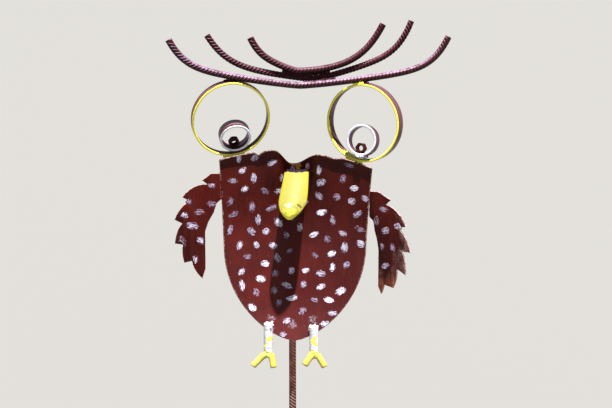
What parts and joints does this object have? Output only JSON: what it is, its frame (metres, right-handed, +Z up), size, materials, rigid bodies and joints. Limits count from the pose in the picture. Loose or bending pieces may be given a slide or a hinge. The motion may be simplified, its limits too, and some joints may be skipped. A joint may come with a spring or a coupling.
{
  "type": "garden stake owl sculpture",
  "caption": "Owl of welded scrap on a stake: shovel blade body, pipe ring eyes with nuts, bent rebar brows, cut sheet wings.",
  "frame": {"origin": "centre of the stake's flat cut end, where it goes into the ground", "axes": "+Z up along the stake, the owl faces -Y, +X to the right as seen from its front"},
  "size_m": [0.4094, 0.0944, 0.7553],
  "materials": {
    "maroon_paint": "glossy, brush painted over scrap steel",
    "dark_maroon_paint": "satin, thin over a steel nut",
    "rusty_maroon_paint": "dull and worn, with bare rust showing",
    "yellow_paint": "glossy",
    "white_paint": "glossy"
  },
  "bodies": {
    "root": {"blade": "maroon_paint", "left_wing": "maroon_paint", "right_wing": "rusty_maroon_paint", "left_eye_ring": "maroon_paint", "right_eye_ring": "maroon_paint", "left_iris_ring": "maroon_paint", "right_iris_ring": "maroon_paint", "left_pupil_nut": "dark_maroon_paint", "right_pupil_nut": "dark_maroon_paint", "brow_bar_low": "maroon_paint", "brow_bar_middle": "maroon_paint", "brow_bar_top": "maroon_paint", "beak": "yellow_paint", "left_leg": "white_paint", "right_leg": "white_paint", "left_toe_outer": "yellow_paint", "left_toe_inner": "yellow_paint", "right_toe_inner": "yellow_paint", "right_toe_outer": "yellow_paint", "stake": "rusty_maroon_paint"}
  },
  "joints": []
}
